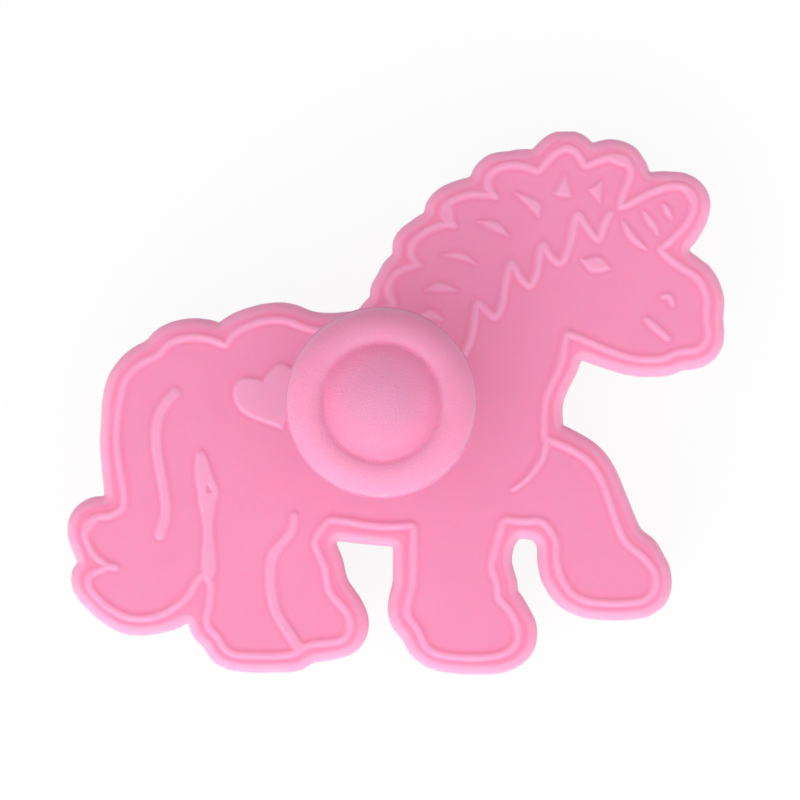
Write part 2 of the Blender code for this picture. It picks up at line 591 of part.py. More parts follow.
def make_screw(name, seat, up, material, plunger):
    """Pan-head screw with a cross recess. Its head bears on the seat and its shank points away."""
    top = HEAD_HEIGHT
    profile = (
        (0, top), (HEAD_RADIUS - HEAD_ROUND, top), (HEAD_RADIUS, top - HEAD_ROUND), (HEAD_RADIUS, 0),
        (SCREW_RADIUS, 0), (SCREW_RADIUS, -SCREW_LENGTH + SCREW_RADIUS), (0, -SCREW_LENGTH),
    )
    screw = make_turned(name, profile, material, plunger, steps=SMALL_TURN_STEPS)
    screw.location.z = seat
    bm = bmesh.new()
    for size in ((RECESS_LENGTH, RECESS_WIDTH, 2 * RECESS_DEPTH),
                 (RECESS_WIDTH, RECESS_LENGTH, 2 * RECESS_DEPTH)):
        box = Matrix.Translation((0, 0, top)) @ Matrix.Diagonal((*size, 1))
        bmesh.ops.create_cube(bm, size=1, matrix=box)
    mesh = bpy.data.meshes.new(name + "_recess")
    bm.to_mesh(mesh)
    bm.free()
    recess = bpy.data.objects.new(name + "_recess", mesh)
    bpy.data.collections["cutters"].objects.link(recess)
    recess.parent = screw
    recess.hide_render = True
    recess.display_type = "WIRE"
    cut = screw.modifiers.new("recess", "BOOLEAN")
    cut.object = recess
    cut.operation = "DIFFERENCE"
    cut.use_self = True
    if not up:
        screw.rotation_euler.x = math.pi
    return screw


def make_knob_base(material, plunger):
    """Lower half of the knob: outer wall, floor, cup round the spring, and hub on the stem."""
    inner = KNOB_RADIUS - KNOB_WALL
    foot = KNOB_FLOOR_FACE - KNOB_SKIRT
    cup_inner = SPRING_RADIUS + WIRE / 2 + SEAT_GAP
    cup_outer = cup_inner + SPRING_CUP_WALL
    cup_foot = KNOB_FLOOR_FACE - SPRING_CUP_DEPTH
    floor_top = KNOB_FLOOR_FACE + KNOB_FLOOR
    socket = STEM_RADIUS + SEAT_GAP
    socket_top = KNOB_FLOOR_FACE + SOCKET_DEPTH
    profile = (
        (KNOB_RADIUS, KNOB_SEAM), (KNOB_RADIUS, foot + KNOB_EDGE_ROUND),
        (KNOB_RADIUS - KNOB_EDGE_ROUND, foot), (inner, foot), (inner, KNOB_FLOOR_FACE),
        (cup_outer, KNOB_FLOOR_FACE), (cup_outer, cup_foot), (cup_inner, cup_foot),
        (cup_inner, KNOB_FLOOR_FACE), (socket, KNOB_FLOOR_FACE), (socket, socket_top),
        (SCREW_HOLE, socket_top), (SCREW_HOLE, HUB_TOP), (HUB_DIAMETER / 2, HUB_TOP),
        (HUB_DIAMETER / 2, floor_top), (inner, floor_top), (inner, KNOB_SEAM),
    )
    return make_turned("knob_base", profile, material, plunger, closed=True)


def make_knob_cap(material, plunger):
    """Upper half of the knob: domed middle, crease round it, rounded crest and rolled edge."""
    foot = KNOB_SEAM + SEAT_GAP
    rim = KNOB_RADIUS - CAP_STEP
    crest = CAP_GROOVE + CREST_RISE
    shares = [k / PROFILE_STEPS for k in range(PROFILE_STEPS + 1)]
    dome = [(DOME_RADIUS * t, CAP_TOP - DOME_RISE * t ** 2) for t in shares]
    ring = [(DOME_RADIUS + (CREST_RADIUS - DOME_RADIUS) * t,
             crest - CREST_RISE * (1 - t) ** 2) for t in shares]
    roll = [(CREST_RADIUS + (rim - CREST_RADIUS) * math.sin(math.pi / 2 * t),
             crest - CAP_SHOULDER * (1 - math.cos(math.pi / 2 * t))) for t in shares]
    curve = []
    for stretch in (dome, ring[:-1] + roll):
        curve += simplified(smooth_curve(stretch, CURVE_STEP), CURVE_TOLERANCE / 2)
    curve = [(max(point.x, 0), point.y) for point in curve]
    spigot = KNOB_RADIUS - KNOB_WALL - SEAT_GAP
    inside = spigot - CAP_SPIGOT_WALL
    ceiling = CAP_GROOVE - CAP_THICKNESS
    recess = WASHER_DIAMETER / 2 + CAP_ROOM
    curve += [
        (rim, foot), (spigot, foot), (spigot, foot - CAP_SPIGOT), (inside, foot - CAP_SPIGOT),
        (inside, ceiling), (recess, ceiling), (recess, CAP_CEILING), (0, CAP_CEILING),
    ]
    return make_turned("knob_cap", curve, material, plunger)


def make_knob_washer(material, plunger):
    """Plain washer under the head of the knob's screw."""
    radius = WASHER_DIAMETER / 2
    top = WASHER_FOOT + WASHER_THICKNESS
    profile = ((radius, top), (radius, WASHER_FOOT), (SCREW_HOLE, WASHER_FOOT), (SCREW_HOLE, top))
    return make_turned("knob_washer", profile, material, plunger, closed=True, steps=SMALL_TURN_STEPS)


def make_return_spring(material):
    """Compression spring round the sleeve, its end turns nearly closed, as one unbroken tube."""
    low = PLATE_TOP + SEAT_GAP + WIRE / 2
    high = KNOB_FLOOR_FACE - SEAT_GAP - WIRE / 2
    end_rise = WIRE + END_TURN_GAP
    turns = (0, 1, SPRING_TURNS - 1, SPRING_TURNS)
    rises = (low, low + end_rise, high - end_rise, high)
    count = round(SPRING_TURNS * SPRING_POINTS)
    points = []
    for i in range(count + 1):
        turn = SPRING_TURNS * i / count
        angle = 2 * math.pi * turn
        height = np.interp(turn, turns, rises)
        points.append((SPRING_RADIUS * math.cos(angle), SPRING_RADIUS * math.sin(angle), height))
    measured = np.array(points)
    apart = SPRING_POINTS // 2
    least = min(np.linalg.norm(measured[i + apart:] - measured[i], axis=1).min()
                for i in range(len(points) - apart)) - WIRE
    print(f"return spring: least gap to itself {least / MM:.2f} mm over {SPRING_TURNS} turns")

    curve = bpy.data.curves.new("return_spring", "CURVE")
    curve.dimensions = "3D"
    curve.bevel_depth = WIRE / 2
    curve.bevel_resolution = 1
    curve.use_fill_caps = True
    spline = curve.splines.new("POLY")
    spline.points.add(len(points) - 1)
    for knot, point in zip(spline.points, points):
        knot.co = (*point, 1.0)
    return add_piece("return_spring", curve, material)


def main():
    for old in list(bpy.data.objects):
        bpy.data.objects.remove(old)
    for name in ("cookie_cutter", "cutters"):
        collection = bpy.data.collections.new(name)
        bpy.context.scene.collection.children.link(collection)

    pink = make_material("pink_polypropylene", "#fa9bbf", 0.5)
    knob_pink = make_material("pink_knob_polypropylene", "#f9a0c3", 0.5)
    steel = make_material("stainless_steel", "#c9c9c6", 0.3, 1.0)

    plunger = bpy.data.objects.new("plunger_axis", None)
    bpy.data.collections["cookie_cutter"].objects.link(plunger)
    plunger.location = (*PLUNGER_AXIS, 0)

    make_cutter_body(pink)
    make_return_spring(steel).location = (*PLUNGER_AXIS, 0)
    make_stamp_plate(pink, plunger)
    make_plunger_stem(pink, plunger)
    make_screw("stamp_screw", STAMP_TOP - STAMP_WEB - SEAT_GAP, False, steel, plunger)
    make_knob_base(knob_pink, plunger)
    make_knob_washer(steel, plunger)
    make_screw("knob_screw", HEAD_SEAT, True, steel, plunger)
    make_knob_cap(knob_pink, plunger)

    for piece in bpy.data.collections["cookie_cutter"].objects:
        if piece.type == "MESH" and not piece.modifiers:
            piece.data.shade_smooth()
            piece.data.set_sharp_from_angle(angle=math.radians(35))
    print(f"stroke {STROKE / MM:.2f} mm, plunger axis at {PLUNGER_AXIS.x / MM:.3f}, "
          f"{PLUNGER_AXIS.y / MM:.3f} mm, height {CAP_TOP / MM:.2f} mm")


main()
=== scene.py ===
"""Pink unicorn cookie cutter with a sprung plunger, seen straight from above on a white table.

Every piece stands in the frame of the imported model, in metres. The plate and the stamp are carved
anew round the loops of their solids, with the soft edges that a mould gives, and the knob, stem,
sleeve, spring, washer and screws are turned or wound to the same sizes.
"""
import math

import bmesh
import bpy
import numpy as np
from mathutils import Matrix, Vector
from mathutils.geometry import delaunay_2d_cdt, intersect_line_line_2d
from mathutils.kdtree import KDTree


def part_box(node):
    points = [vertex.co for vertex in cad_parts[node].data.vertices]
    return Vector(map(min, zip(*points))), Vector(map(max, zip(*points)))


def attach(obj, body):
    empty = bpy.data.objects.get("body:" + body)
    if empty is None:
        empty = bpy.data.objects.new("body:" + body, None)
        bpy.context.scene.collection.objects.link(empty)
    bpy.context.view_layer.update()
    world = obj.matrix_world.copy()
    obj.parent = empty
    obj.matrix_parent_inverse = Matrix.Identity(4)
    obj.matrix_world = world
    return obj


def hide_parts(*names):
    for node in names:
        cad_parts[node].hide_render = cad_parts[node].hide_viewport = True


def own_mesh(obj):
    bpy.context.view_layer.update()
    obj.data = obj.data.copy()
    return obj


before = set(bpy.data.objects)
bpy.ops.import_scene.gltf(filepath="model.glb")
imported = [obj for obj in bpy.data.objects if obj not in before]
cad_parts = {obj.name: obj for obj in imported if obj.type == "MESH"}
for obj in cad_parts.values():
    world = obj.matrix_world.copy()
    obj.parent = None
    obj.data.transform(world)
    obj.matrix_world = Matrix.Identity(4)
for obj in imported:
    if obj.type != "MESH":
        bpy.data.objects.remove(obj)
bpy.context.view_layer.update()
bpy.ops.object.select_all(action="DESELECT")

MM = 0.001

# Heights of the solids
STAMP_TIP = 9.0 * MM
STAMP_FACE = 10.2 * MM
STAMP_TOP = 13.2 * MM
PLATE_UNDER = 13.5 * MM
PLATE_TOP = 15.7 * MM
LINE_TOP = 16.25 * MM
KNOB_FLOOR = 32.4 * MM
KNOB_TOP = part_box("knob_cap")[1].z

# Axis of the plunger, from the round washer on it
washer_low, washer_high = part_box("knob_washer")
AXIS = Vector(((washer_low.x + washer_high.x) / 2, (washer_low.y + washer_high.y) / 2, 0))

# Steps along the loops of a top and of an underside, and steps in which a loop is measured, in
# millimetres
TOP_STEP = 0.27
UNDER_STEP = 0.4
SAMPLE = 0.03
# Turn from which a loop's corner stays sharp, and step of the arc round a corner that opens
CORNER = math.radians(50)
ARC_STEP = math.radians(20)
# A ring's points stay where they are this share of their distance, less the slack, from its loop
RING_SHARE, RING_SLACK = 0.99, 0.001
# How far off a loop counts that isn't there, and how close two points of a sheet are one
FAR = 99.0
SHEET_MERGE = 0.0005
# Ring on the flat round a hole, and the one inside a finely rounded border
HOLE_RING = 0.1
BORDER_RING = -0.35
# Steps of turned pieces and of their rounded corners
TURN_STEPS = 96
SMALL_TURN_STEPS = 48
ROUND_STEPS = 4
# How far a flat face's points may lie off its height
LEVEL = 0.01 * MM
# How close two points of a mesh are one
MERGE, CARVED_MERGE = 0.002 * MM, 0.003 * MM
# Angle up to which edges look smooth, on the pieces and on the round wire
SMOOTH, WIRE_SMOOTH = math.radians(40), math.radians(50)


# Carving a sheet round loops. Plan points are in millimetres in this part.

def flat_loops(node, height):
    """Loops round the faces of a CAD node that lie flat at the height, each with the faces on its
    left, and the largest loop first."""
    bm = bmesh.new()
    bm.from_mesh(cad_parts[node].data)
    bmesh.ops.remove_doubles(bm, verts=bm.verts, dist=MERGE)
    flat = [face for face in bm.faces if all(abs(v.co.z - height) < LEVEL for v in face.verts)]
    lying = set(flat)
    following = {}
    for face in flat:
        for loop in face.loops:
            if not any(other in lying for other in loop.edge.link_faces if other is not face):
                following[loop.vert] = loop.link_loop_next.vert
    points_down = flat[0].normal.z < 0
    loops = []
    while following:
        vert = next(iter(following))
        loop = []
        while vert in following:
            loop.append(vert.co.xy / MM)
            vert = following.pop(vert)
        loops.append(np.array(loop[::-1] if points_down else loop))
    bm.free()
    return sorted(loops, key=lambda loop: -np.ptp(loop, axis=0).prod())


def turns(points):
    """How far a closed loop turns to the left at each of its points."""
    ways = np.roll(points, -1, axis=0) - points
    before = np.roll(ways, 1, axis=0)
    cross = before[:, 0] * ways[:, 1] - before[:, 1] * ways[:, 0]
    return np.arctan2(cross, (before * ways).sum(axis=1))


def curve_through(knots):
    """Fine centripetal Catmull-Rom curve from the second knot to the last but one."""
    curve = []
    for a, b, c, d in zip(knots, knots[1:], knots[2:], knots[3:]):
        lengths = [np.linalg.norm(q - p) for p, q in ((a, b), (b, c), (c, d))]
        t1, t2, t3 = np.cumsum(np.sqrt(lengths))
        count = max(2, math.ceil(lengths[1] / SAMPLE))
        for t in np.arange(t1, t2, (t2 - t1) / count)[:, None]:
            ab = a + (b - a) * t / t1
            bc = b + (c - b) * (t - t1) / (t2 - t1)
            cd = c + (d - c) * (t - t2) / (t3 - t2)
            abc = ab + (bc - ab) * t / t2
            bcd = bc + (cd - bc) * (t - t1) / (t3 - t1)
            curve.append(abc + (bcd - abc) * (t - t1) / (t2 - t1))
    return np.array([*curve, knots[-2]])


def smooth_loop(points, step):
    """The loop as an even smooth one that keeps its sharp corners."""
    corners = np.flatnonzero(abs(turns(points)) > CORNER)
    count = len(points)
    if len(corners):
        stretches = []
        for first, last in zip(corners, [*corners[1:], corners[0] + count]):
            part = points[np.arange(first, last + 1) % count]
            stretches.append([2 * part[0] - part[1], *part, 2 * part[-1] - part[-2]])
    else:
        stretches = [points[np.arange(-1, count + 2) % count]]
    even = []
    for knots in stretches:
        curve = curve_through(knots)
        lengths = np.linalg.norm(np.diff(curve, axis=0), axis=1)
        along = np.concatenate([[0], np.cumsum(lengths)])
        places = np.linspace(0, along[-1], max(1, round(along[-1] / step)) + 1)[:-1]
        even.append(np.column_stack([np.interp(places, along, curve[:, k]) for k in (0, 1)]))
    return np.concatenate(even)


def offset_points(loop, distance):
    """Points at the distance to the right of the loop, in an arc round the corners that open
    there."""
    ways = np.roll(loop, -1, axis=0) - loop
    ways /= np.linalg.norm(ways, axis=1)[:, None]
    before = np.roll(ways, 1, axis=0)
    result = []
    for point, u, turn in zip(loop, before, turns(loop)):
        start = math.atan2(-u[0], u[1])
        steps = math.ceil(abs(turn) / ARC_STEP)
        opens = turn * distance > 0
        if steps <= 1:
            angles = [start + turn / 2]
        elif opens:
            angles = [start + turn * k / steps for k in range(steps + 1)]
        else:
            angles = [start, start + turn]
        result += [point + distance * np.array((math.cos(a), math.sin(a))) for a in angles]
    return np.array(result)


def nearness(loops):
    """Function that gives how far the loops are from each of some points, and where they are."""
    if not loops:
        return lambda points: (np.full(len(points), FAR), points)
    samples = []
    for loop in loops:
        for a, b in zip(loop, np.roll(loop, -1, axis=0)):
            count = max(1, math.ceil(np.linalg.norm(b - a) / SAMPLE))
            samples += [a + (b - a) * k / count for k in range(count)]
    tree = KDTree(len(samples))
    for i, sample in enumerate(samples):
        tree.insert((*sample, 0), i)
    tree.balance()

    def measure(points):
        found = [tree.find((*p, 0)) for p in points]
        return np.array([f[2] for f in found]), np.array([f[0].xy for f in found])
    return measure


def carve_sheet(border, hole, carved, height):
    """Sheet inside the border's loop and outside the hole's, carved along the third group of loops.

    Each group holds loops, with what they enclose on their left, and the distances of the rings
    that follow them. height takes the points' distances to the border, the hole and the carved
    loops, negative inside them, and gives heights. Returns the points, the triangles, and the
    points' numbers along the border and along the hole.
    """
    groups = (border, hole, carved)
    points = []
    origins = []
    rings = []
    edges = []
    near = [nearness(loops) for loops, _ in groups]
    for k, (loops, ring_distances) in enumerate(groups):
        for loop in loops:
            rings.append((k, range(len(points), len(points) + len(loop))))
            points += list(loop)
            origins += [(k, 0.0)] * len(loop)
            for distance in ring_distances:
                ring = offset_points(loop, distance)
                clear = near[k](ring)[0] > abs(distance) * RING_SHARE - RING_SLACK
                numbers = np.cumsum(clear) - 1 + len(points)
                points += list(ring[clear])
                origins += [(k, distance)] * int(clear.sum())
                edges += [(int(numbers[i - 1]), int(numbers[i]))
                          for i in range(len(ring)) if clear[i] and clear[i - 1]]
    outlines = [list(ring)[::1 if turns(np.array(points[ring.start:ring.stop])).sum() > 0 else -1]
                for _, ring in rings]
    place, _, faces, sources, _, within = delaunay_2d_cdt(
        [Vector(p) for p in points], edges, outlines, 1, SHEET_MERGE)
    inside = [[sum(rings[r][0] == k for r in w) % 2 for k in range(3)] for w in within]
    kept = [n for n, (in_border, in_hole, _) in enumerate(inside) if in_border and not in_hole]
    used = sorted({i for n in kept for i in faces[n]})
    number = {old: new for new, old in enumerate(used)}
    place = np.array([tuple(place[i]) for i in used])
    triangles = [[number[i] for i in faces[n]] for n in kept]
    distances = np.array([near[k](place)[0] for k in range(3)])
    for triangle, n in zip(triangles, kept):
        for k in range(3):
            if inside[n][k]:
                distances[k, triangle] = -abs(distances[k, triangle])
    found = {}
    for old, new in number.items():
        for source in sources[old]:
            k, distance = origins[source]
            distances[k, new] = distance
            found[source] = new
    sides = [[found[i] for i in ring] for k, ring in rings if k < 2]
    return np.column_stack([place, height(*distances)]), triangles, sides


def arc_rings(width, count):
    """Distances of rings on the inside of a rounded border, closest at its outer edge."""
    return [-width * (1 - math.cos(math.pi / 2 * k / count)) for k in range(1, count + 1)]


def rounding(distance, width, depth):
    """How far a rounded border lies below the flat at a distance inside it."""
    share = np.clip(1 + distance / width, 0, 1)
    return depth * (1 - np.sqrt(1 - share ** 2))


def smooth_step(share):
    """Soft step from 0 to 1."""
    share = np.clip(share, 0, 1)
    return share ** 2 * (3 - 2 * share)


def circle(radius):
    """Loop round the plunger's axis."""
    angles = [2 * math.pi * k / TURN_STEPS for k in range(TURN_STEPS)]
    return np.array([(AXIS.x / MM + radius * math.cos(a), AXIS.y / MM + radius * math.sin(a))
                     for a in angles])


# Making pieces

def choose(*pieces):
    """Select these pieces only, with the first one active."""
    bpy.ops.object.select_all(action="DESELECT")
    for piece in pieces:
        piece.select_set(True)
    bpy.context.view_layer.objects.active = pieces[0]


def close_seams(distance):
    """Merge the active piece's points that are this close, and turn its faces outwards."""
    bpy.ops.object.mode_set(mode="EDIT")
    bpy.ops.mesh.select_all(action="SELECT")
    bpy.ops.mesh.remove_doubles(threshold=distance)
    bpy.ops.mesh.normals_make_consistent(inside=False)
    bpy.ops.object.mode_set(mode="OBJECT")


def turned(name, profile, steps=TURN_STEPS):
    """Piece turned round the plunger's axis. The profile runs along radii and heights in
    millimetres, and each corner may say the radius that rounds it."""
    bpy.ops.mesh.primitive_plane_add(size=MM, location=AXIS)
    piece = bpy.context.object
    piece.name = piece.data.name = name
    bpy.ops.object.mode_set(mode="EDIT")
    bpy.ops.mesh.merge(type="CENTER")
    radius, height = 0, 0
    for number, corner in enumerate(profile):
        move = ((corner[0] - radius) * MM, 0, (corner[1] - height) * MM)
        if number:
            bpy.ops.mesh.extrude_region_move(TRANSFORM_OT_translate={"value": move})
        else:
            bpy.ops.transform.translate(value=move)
        radius, height = corner[:2]
    for size in sorted({corner[2] for corner in profile if len(corner) > 2}):
        bpy.ops.mesh.select_all(action="DESELECT")
        bpy.ops.object.mode_set(mode="OBJECT")
        marks = [corner[:2] for corner in profile if corner[2:] == (size,)]
        for vert in piece.data.vertices:
            place = (vert.co.x / MM, (vert.co.z + piece.location.z) / MM)
            vert.select = any(math.dist(place, mark) < MERGE / MM for mark in marks)
        bpy.ops.object.mode_set(mode="EDIT")
        bpy.ops.mesh.bevel(offset=size * MM, segments=ROUND_STEPS, affect="VERTICES")
    bpy.ops.mesh.select_all(action="SELECT")
    bpy.ops.mesh.spin(steps=steps, angle=2 * math.pi, center=AXIS, axis=(0, 0, 1))
    bpy.ops.object.mode_set(mode="OBJECT")
    close_seams(MERGE)
    choose(piece)
    bpy.ops.object.transform_apply(location=True, rotation=True, scale=True)
    bpy.ops.object.shade_smooth_by_angle(angle=SMOOTH)
    return piece


def carved_piece(name, top, under, *joined):
    """Piece made of a carved sheet above, one below, the sides between their borders, and turned
    pieces that fit their holes."""
    bm = bmesh.new()
    rims = []
    for points, triangles, sides in (top, under):
        verts = [bm.verts.new(Vector(p) * MM) for p in points]
        for triangle in triangles:
            bm.faces.new([verts[i] for i in triangle])
        rims.append([verts[i] for i in sides[0]])
    above, below = rims
    for i in range(len(above)):
        bm.faces.new((above[i - 1], above[i], below[i], below[i - 1]))
    mesh = bpy.data.meshes.new(name)
    bm.to_mesh(mesh)
    bm.free()
    piece = bpy.data.objects.new(name, mesh)
    bpy.context.scene.collection.objects.link(piece)
    choose(piece, *joined)
    bpy.ops.object.join()
    close_seams(CARVED_MERGE)
    bpy.ops.object.shade_smooth_by_angle(angle=SMOOTH)
    return piece


# The cutter: plate with the raised drawing and the rolled rim, skirt with the cutting edge, sleeve

# Width and depth of the rim's roll, the number of rings on it, and the ring on the flat inside it
RIM_ROLL, RIM_DROP = 1.8, 1.3
RIM_RINGS = 7
RIM_END = -1.9
# Rise of the lines, how far they spread beyond the solid's, half the width of their flanks, and
# the places of the rings along them in thirds of that
LINE_RISE = 0.23
LINE_SPREAD = -0.07
FLANK = 0.34
LINE_RINGS = (-3.4, -3, -2, -1, 0, 1, 2, 3, 3.9, 5, 6.2, 7.7)
# Depth and half width of the shallow groove round the lines, and how far its middle is from them
GROOVE, GROOVE_WIDTH, GROOVE_PLACE = 0.02, 0.5, 0.1
# How the drawing lies on the plate: a slight stretch and turn, and a shift
LINE_STRETCH = ((0.9965, -0.0009), (0.0015, 0.9955))
LINE_SHIFT = (0.10, 0.14)
# Corner of the line between the forelegs that the solid cuts off, and how far round it that reaches
NOTCH_CORNER, NOTCH_REACH = (14.6, -17.8), 3.7
# How much wider than usual the line may be where its width is evened, and how softly that ends
EVEN_SPARE, EVEN_FADE = 0.9, 0.4
# Most steps in one small turn of a loop that crosses itself
CROSSING = 24
# Rounds of averaging that soften a loop's corners
SOFTENING = 3
# How far the rim reaches beyond the solid's, in hundredths of a millimetre, at even places along it
# from its highest point
RIM_REACH = (
    15, 35, 20, -40, -10, 5, -5, 5, 25, -5, 25, 10, -40, 15, 0, -5, 15, 15, 0, -10, 5, 30, 25, 15,
    15, 5, 0, 5, 5, -15, -5, 5, 25, 40, 30, 10, -15, 15, -15, -30, -25, -10, -5, 5, 50, 10, -5, -5,
    -15, -5, -10, 15, 15, -5, 20, 25, 30, 65, 40, 45, 40, 20, 35, 40, 35, 25, 20, 10, -20, -20, -15,
    -10, 5, 20, 35, 35, 20, 50, 55, -20, 20, 20, 20, 10, -15, -15, -10, -15, -10, 0, -15, 5, 65, 45,
    35, 15, 15, 20, 25, 35, 20, 10, 35, 15, -5, -5, -5, 20, 15, 10, -5, 5, 5, 0, 5, 30, 5, -5, -25,
    -35, -25, 40, -15, -5, 25, 25)
# Rounding of the plate's lower edge, and its rings
UNDER_ROUND, UNDER_RINGS = 0.3, 3
# How the wall stands under the plate: distances outside its face, and heights
WALL_FLANK = ((-0.42, 0.0), (-0.35, 0.03), (-0.30, 0.15), (-0.04, 2.6), (0.0, 12.9), (0.07, 13.3),
              (0.18, 13.44), (0.35, 13.5), (0.4, 13.5))
# Holes that the sleeve fills in the top and in the underside, and the sleeve's profile
SLEEVE_FOOT, BORE_MOUTH = 5.0, 3.6
SLEEVE_PROFILE = (
    (SLEEVE_FOOT, 15.7), (4.5, 15.7, 0.5), (4.5, 23.7, 0.3),     # fillet on the plate, outside
    (3.3, 23.7, 0.3), (3.3, 13.5, 0.3), (BORE_MOUTH, 13.5))      # bore for the stem


def untangled(loop):
    """The loop without the small turns in which it crosses itself."""
    points = [Vector(p) for p in np.roll(loop, -np.argmax(loop[:, 1]), axis=0)]
    start = 0
    while start < len(points) - 2:
        for end in range(min(start + CROSSING, len(points) - 2), start + 1, -1):
            cross = intersect_line_line_2d(*points[start:start + 2], *points[end:end + 2])
            if cross:
                points[start + 1:end + 1] = [cross]
                break
        start += 1
    return np.array(points)


def softened(loop):
    """The loop with its corners a little softer."""
    for _ in range(SOFTENING):
        loop = (np.roll(loop, 1, axis=0) + 2 * loop + np.roll(loop, -1, axis=0)) / 4
    return loop


def cornered(outer, inner):
    """The outer loop, led along the inner one round the corner that it cuts off."""
    width = np.median(nearness([outer])(inner)[0])
    led = offset_points(inner, -width)[::-1]
    led = led[np.linalg.norm(led - NOTCH_CORNER, axis=1) < NOTCH_REACH]
    cut = np.linalg.norm(outer - NOTCH_CORNER, axis=1) < NOTCH_REACH
    start = np.flatnonzero(cut & ~np.roll(cut, -1))[0] + 1
    kept = np.roll(outer, -start, axis=0)[:-cut.sum()]
    return smooth_loop(untangled(np.concatenate([kept, led])), TOP_STEP)


def evened(loop, outer):
    """The loop kept at an even distance from the outer one where it runs along it."""
    distances, places = nearness([outer])(loop)
    width = np.median(distances)
    share = smooth_step((width + EVEN_SPARE - distances) / EVEN_FADE)
    pull = share * (width - distances) / distances
    return smooth_loop(softened(untangled(loop + pull[:, None] * (loop - places))), TOP_STEP)


def rim_loop(loop):
    """The plate's border with the reach of its rim, within the width and depth of the solid."""
    loop = np.roll(loop, -np.argmax(loop[:, 1]), axis=0)
    following = np.roll(loop, -1, axis=0)
    along = np.cumsum(np.linalg.norm(following - loop, axis=1))
    places = np.linspace(0, along[-1], len(RIM_REACH) + 1)
    reach = np.interp(along - along[0], places, [*RIM_REACH, RIM_REACH[0]]) / 100
    ways = following - np.roll(loop, 1, axis=0)
    ways /= np.linalg.norm(ways, axis=1)[:, None]
    moved = loop + reach[:, None] * np.column_stack([ways[:, 1], -ways[:, 0]])
    moved = np.clip(softened(untangled(moved)), loop.min(axis=0), loop.max(axis=0))
    return smooth_loop(moved, TOP_STEP)


def plate_height(edge, _, line):
    """Height of the top over the plan: flat, raised lines in a shallow groove, rolled rim."""
    foot = FLANK + LINE_SPREAD
    lines = LINE_RISE * smooth_step((foot - line) / (2 * FLANK))
    beside = smooth_step(1 - abs(line - foot - GROOVE_PLACE) / GROOVE_WIDTH)
    return PLATE_TOP / MM + lines - GROOVE * beside - rounding(edge, RIM_ROLL, RIM_DROP)


def under_height(edge, _, wall):
    """Height of the underside over the plan, with the wall that stands down from it."""
    return np.interp(wall, *zip(*WALL_FLANK)) + rounding(edge, UNDER_ROUND, UNDER_ROUND)


def make_cutter():
    """The whole moulding that the plunger slides in."""
    under_loops = flat_loops("cutter_body", PLATE_UNDER)
    edge = [rim_loop(smooth_loop(under_loops[0], TOP_STEP))]
    walls = [smooth_loop(loop, UNDER_STEP)[::-1] for loop in under_loops[1:3]]
    lines = [smooth_loop(loop @ np.transpose(LINE_STRETCH) + LINE_SHIFT, TOP_STEP)
             for loop in flat_loops("cutter_body", LINE_TOP)]
    lines[0] = cornered(*lines[:2])
    lines[1:] = [evened(loop, lines[0]) if turns(loop).sum() < 0 else loop for loop in lines[1:]]
    top = carve_sheet(
        (edge, [*arc_rings(RIM_ROLL, RIM_RINGS), RIM_END]), ([circle(SLEEVE_FOOT)], [HOLE_RING]),
        (lines, [LINE_SPREAD + FLANK * k / 3 for k in LINE_RINGS]), plate_height)
    under = carve_sheet(
        (edge, [*arc_rings(UNDER_ROUND, UNDER_RINGS), BORDER_RING]),
        ([circle(BORE_MOUTH)], [HOLE_RING]),
        (walls, [distance for distance, _ in WALL_FLANK if distance]), under_height)
    return carved_piece("cutter_moulding", top, under, turned("sleeve", SLEEVE_PROFILE))


# The stamp: a plate that fills the skirt, with the drawing standing down from it

STAMP_ROUND, STAMP_RINGS = 0.3, 3
# Half the width of the lines' flanks, and the places of the rings along them in halves of that
STAMP_FLANK = 0.2
STAMP_LINE_RINGS = (-2.4, -2, -1, 1, 2, 2.4)
# Holes in the face and in the back, and the pocket for the screw's head that joins them
POCKET_MOUTH, SCREW_HOLE = 3.3, 1.7
POCKET_PROFILE = (
    (POCKET_MOUTH, 10.2), (3.0, 10.2, 0.3), (3.0, 12.0, 0.2),
    (SCREW_HOLE, 12.0), (SCREW_HOLE, 13.2))


def make_stamp():
    """Stamp with its screw pocket."""
    border = [smooth_loop(flat_loops("stamp_plate", STAMP_FACE)[0], TOP_STEP)]
    lines = [smooth_loop(loop, TOP_STEP) for loop in flat_loops("stamp_plate", STAMP_TIP)]
    rings = [*arc_rings(STAMP_ROUND, STAMP_RINGS), BORDER_RING]
    line_depth = (STAMP_FACE - STAMP_TIP) / MM

    def face_height(edge, _, line):
        lines_down = line_depth * smooth_step((STAMP_FLANK - line) / (2 * STAMP_FLANK))
        return STAMP_FACE / MM - lines_down + rounding(edge, STAMP_ROUND, STAMP_ROUND)

    def back_height(edge, *_):
        return STAMP_TOP / MM - rounding(edge, STAMP_ROUND, STAMP_ROUND)

    face = carve_sheet((border, rings), ([circle(POCKET_MOUTH)], [HOLE_RING]),
                       (lines, [STAMP_FLANK * k / 2 for k in STAMP_LINE_RINGS]), face_height)
    back = carve_sheet((border, rings), ([circle(SCREW_HOLE)], [HOLE_RING]), ([], ()), back_height)
    return carved_piece("stamp", back, face, turned("pocket", POCKET_PROFILE))


# The knob, in two shells that meet in a seam, and the stem that carries it

# Dome, rounding of the crease round it, how far before the crease its points end, and their number
DOME_RADIUS, DOME_RISE = 7.6, 2.0
CREASE_ROUND = 0.35
DOME_END, DOME_POINTS = 0.4, 20
# Crest of the ring round the dome, and the places of the points that lead up to it
CREST_RADIUS, CREST_RISE = 8.75, 0.3
CREST_SHARES = (0.35, 0.7)
# Roll from the crest down to the cap's widest radius
CAP_RADIUS = 12.2
ROLL_DEPTH, ROLL_POINTS = 3.1, 14
